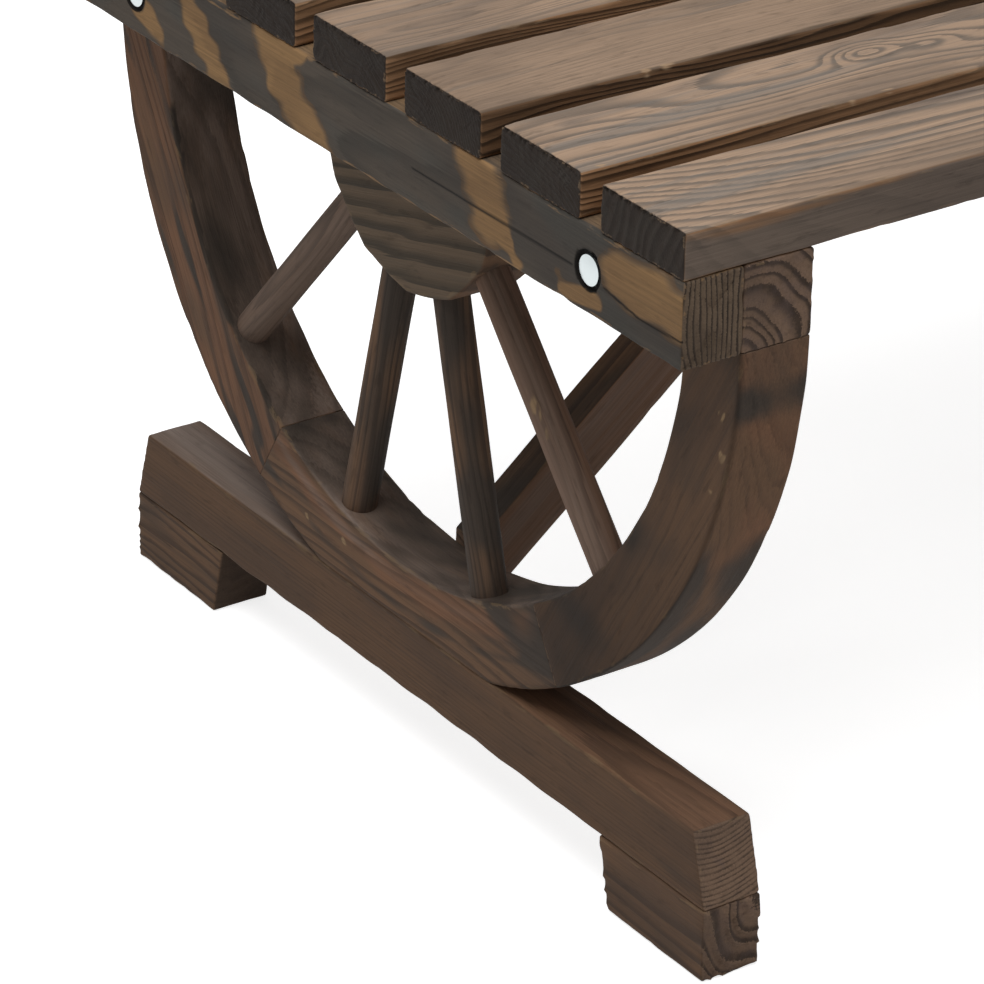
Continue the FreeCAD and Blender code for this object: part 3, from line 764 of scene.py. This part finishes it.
def spokePlace(end, angle, reach, points):
    # a round bar laid along its ray of the fan, set back from the front of the wheel
    along, across = sum(reach) / 2 + points[..., 0], points[..., 2]
    level = wheel["level"] + spokeFan["rise"] - along * math.sin(angle) + across * math.cos(angle)
    return atEnd(end, np.stack([wheel["front"] + spokeFan["setback"] - points[..., 1],
                                along * math.cos(angle) + across * math.sin(angle), level], axis=-1))


def spokeMarks(tone, length, points, normals, rng):
    # soot all along and more or less in one stretch; one spoke has a scar
    u, w = points[..., 0], points[..., 2]
    soot = tone["soot"] + tone["more"] * band(u / length, *tone["place"])
    soot = cloudy(rng, points, *spokeClouds, soot)
    away = np.hypot(u / spokeScar["long"], (w - spokeScar["across"]) / spokeScar["wide"])
    scar = tone["scar"] * spot(away, 1, spokeScar["border"]) * (normals[..., 1] > 0)
    return {"soot": soot, "gold": tone["gold"] + 0 * u, "brushed": tone["brushed"] + 0 * u,
            "scar": scar * patchy(rng, points, *spokeScar["ragged"])}


for end in ("near", "far"):
    for number, (base, cut) in enumerate(felloes.items()):
        seed, felloe = seedAt(end, cut["seed"]), {**plainFelloe, **cut}
        ends = (wheel["span"] * number, wheel["span"] * (number + 1))
        grid = barGrid(math.radians(wheel["span"]) * rimMiddle, (wheel["back"] - wheel["front"]) / 2,
                       (wheel["outer"] - wheel["inner"]) / 2, felloeShape, seed)
        woodPiece(f"{base}_{end}", frameFir, grid,
                  lambda points: atEnd(end, felloePlace(*ends, points)), felloe, seed,
                  partial(felloeMarks, base, felloe, sum(ends) / 2), partial(felloeGrain, *ends))

    for number, tone in enumerate(spokeTones):
        seed = seedAt(end, spokeCut["seed"] + number)
        angle = math.radians(90 + spokeFan["step"] * (number - (len(spokeTones) - 1) / 2))
        reach, thick = spokeReach(angle), spokeFan["radius"]
        length = reach[1] - reach[0]
        grid = barGrid(length, thick, thick, spokeShape, seed)
        woodPiece(f"spoke_{number + 1}_{end}", frameFir, grid,
                  partial(spokePlace, end, angle, reach), spokeCut, seed, partial(spokeMarks, tone, length))
print("felloes and spokes made")


# Hub: a half disc, slightly faceted as it was sawn

hubShape = {"radius": 83.0, "facet": 30.0, "facetShare": 0.6, "edge": 1.6, "middleShare": 0.42,
            "arcPoints": 121, "topPoints": 60, "rowStep": 2.0, "capStep": 1.3}
hubCut = {"pith": (30, 140), "ring": 9.0, "bend": 3.0, "wiggle": 0.8, "uneven": 0.4, "endRelief": 0.25,
          "tilt": 15.0, "seed": 71}
hubClouds = ((60, 60, 60), 0.2, 0.1)  # lengths, swing, soot
hubCentre = np.array([wheelMiddle, 0, wheel["level"]])


def hubGrid():
    # outline: straight top and an arc flattened towards the sides of a polygon; drawn in towards a
    # point below the middle of the top at both faces
    thick, edge, facet = wheel["back"] - wheel["front"], hubShape["edge"], hubShape["facet"]
    angle = np.linspace(0, 180, hubShape["arcPoints"])
    flat = math.cos(math.radians(facet / 2)) / np.cos(np.radians(angle % facet - facet / 2))
    radius = hubShape["radius"] * (1 - hubShape["facetShare"] * (1 - flat))
    top = np.linspace(-1, 1, hubShape["topPoints"])[1:-1] * hubShape["radius"]
    v = np.concatenate([radius * np.cos(np.radians(angle)), top])
    w = np.concatenate([-radius * np.sin(np.radians(angle)), np.zeros(len(top))])
    facing = np.concatenate([np.radians(-angle), np.full(len(top), np.pi / 2)])
    below = hubShape["middleShare"] * hubShape["radius"]
    along, inset, tilt = barRows(thick, edge, below, hubShape["rowStep"], hubShape["capStep"])
    shrink = (1 - inset / below)[:, None]
    points = np.stack([along[:, None] + 0 * v, shrink * v, shrink * (w + below) - below], axis=-1)
    onCap = np.abs(tilt) > capTilt
    toEnd = np.maximum(np.where(onCap, inset - edge, thick / 2 - np.abs(along)), 0)[:, None] + 0 * v
    return points, gridNormals(tilt, facing), toEnd + noArris, toEnd


def hubGrain(points):
    # the grain lies nearly level
    lean, y, z = math.radians(hubCut["tilt"]), points[..., 1], points[..., 2]
    return np.stack([y * math.cos(lean) - z * math.sin(lean), points[..., 0],
                     z * math.cos(lean) + y * math.sin(lean)], axis=-1)


def hubMarks(points, normals, rng):
    return {"soot": cloudy(rng, points, *hubClouds)}


for end in ("near", "far"):
    woodPiece("hub_" + end, hubFir, hubGrid(), lambda points: atEnd(end, points + hubCentre),
              hubCut, seedAt(end, hubCut["seed"]), hubMarks, hubGrain)
print("hubs made")


# Braces: bars on edge from the wheel's foot up to the batten, cut plumb at both ends

braceShape = {"corner": 1.5, "edge": 1.0, "wear": 0.3}
braceCut = {"pith": (30, -8), "ring": 5.0, "endRelief": 0.2, "seed": 81}
braceLine = {"start": (-370.0, 104.5), "end": (-21.5, 394.0), "depth": 35.0, "width": 23.0}
braceClouds, braceTopSoot = ((160, 40, 40), 0.15), 0.5
braceSides = {"gold": 0.7, "brushed": 0.5, "plain": 0.8}
run, climb = (braceLine["end"][k] - braceLine["start"][k] for k in (0, 1))
plumbHalf = braceLine["depth"] / 2 / math.cos(math.atan2(climb, run))


def bracePlace(end, points):
    # each plumb section moves up the slope by its share of the run
    share = points[..., 0] / run + 0.5
    return atEnd(end, np.stack([braceLine["start"][0] + share * run, points[..., 1],
                                braceLine["start"][1] + share * climb + points[..., 2]], axis=-1))


def braceMarks(points, normals, rng):
    # plain reddish sides and a sooty upper face
    sides, top = np.abs(normals[..., 1]), np.clip(normals[..., 2], 0, 1)
    return {"soot": cloudy(rng, points, *braceClouds, braceTopSoot * top),
            **{key: share * sides for key, share in braceSides.items()}}


for end in ("near", "far"):
    seed = seedAt(end, braceCut["seed"])
    grid = barGrid(run, braceLine["width"] / 2, plumbHalf, braceShape, seed)
    woodPiece("brace_" + end, frameFir, grid, partial(bracePlace, end), braceCut, seed,
              braceMarks)
print("braces made")


# Floor, light and camera

def straightRays(tree):
    # rays that show the background: from the camera, or by way of metal or glass
    kinds = addNode(tree, "LightPath").node.outputs
    seen = addNode(tree, "Math", {0: kinds["Is Camera Ray"], 1: kinds["Is Glossy Ray"]},
                   operation="MAXIMUM")
    return addNode(tree, "Math", {0: seen, 1: kinds["Is Transmission Ray"]}, operation="MAXIMUM")


white = (1, 1, 1, 1)
floorLook = {"half": 20, "level": -0.6 * mm, "paint": "#dcdcdc", "glow": 0.78}  # just under the rough feet
floorMesh = bpy.data.meshes.new("floor")
floorCorners = [(x * floorLook["half"], y * floorLook["half"], floorLook["level"])
                for x, y in ((-1, -1), (1, -1), (1, 1), (-1, 1))]
floorMesh.from_pydata(floorCorners, [], [(0, 1, 2, 3)])
floor = bpy.data.objects.new("floor", floorMesh)
scene.collection.objects.link(floor)
# pale matt board, shown white but keeping the shadow
floorPaint, floorTree = newMaterial("floor_paint")
glow = addNode(floorTree, "Math", {0: straightRays(floorTree), 1: floorLook["glow"]}, operation="MULTIPLY")
paint = addNode(floorTree, "BsdfDiffuse", {"Color": linear(floorLook["paint"])})
lit = addNode(floorTree, "Emission", {"Color": white, "Strength": glow})
addNode(floorTree, "OutputMaterial", {"Surface": addNode(floorTree, "AddShader", {0: paint, 1: lit})})
floorMesh.materials.append(floorPaint)

skyLight = {"lighting": 0.29, "seen": 1.0}
world = bpy.data.worlds.new("studio")
scene.world = world
world.use_nodes = True
skyTree = world.node_tree
skyTree.nodes.clear()
strength = addNode(skyTree, "MapRange", {"Value": straightRays(skyTree), "To Min": skyLight["lighting"],
                                         "To Max": skyLight["seen"]})
sky = addNode(skyTree, "Background", {"Color": white, "Strength": strength})
addNode(skyTree, "OutputWorld", {"Surface": sky})

keyLight = {"place": (-1.0, -0.5, 3.2), "target": (-0.2, -0.1, 0.3), "size": 2.4, "power": 88.0}
lamp = bpy.data.lights.new("softbox", "AREA")
lamp.size, lamp.energy = keyLight["size"], keyLight["power"]
softbox = bpy.data.objects.new("softbox", lamp)
softbox.location = keyLight["place"]
softbox.rotation_euler = (Vector(keyLight["target"]) - softbox.location).to_track_quat("-Z", "Y").to_euler()
scene.collection.objects.link(softbox)

shot = {"place": (-1.8551, -2.1579, 1.4965), "ahead": (0.5083, 0.7305, -0.4560), "roll": 1.04,
        "lens": 194.23, "sensor": 36.0, "farthest": 100.0}
camera = bpy.data.objects.new("camera", bpy.data.cameras.new("camera"))
camera.data.lens, camera.data.sensor_width = shot["lens"], shot["sensor"]
camera.data.clip_end = shot["farthest"]
aim = Vector(shot["ahead"]).to_track_quat("-Z", "Y").to_matrix()
aim = aim @ Matrix.Rotation(math.radians(shot["roll"]), 3, "Z")
camera.matrix_world = Matrix.Translation(shot["place"]) @ aim.to_4x4()
scene.collection.objects.link(camera)
scene.camera = camera
scene.view_settings.view_transform = "Standard"
print("floor, light and camera placed")
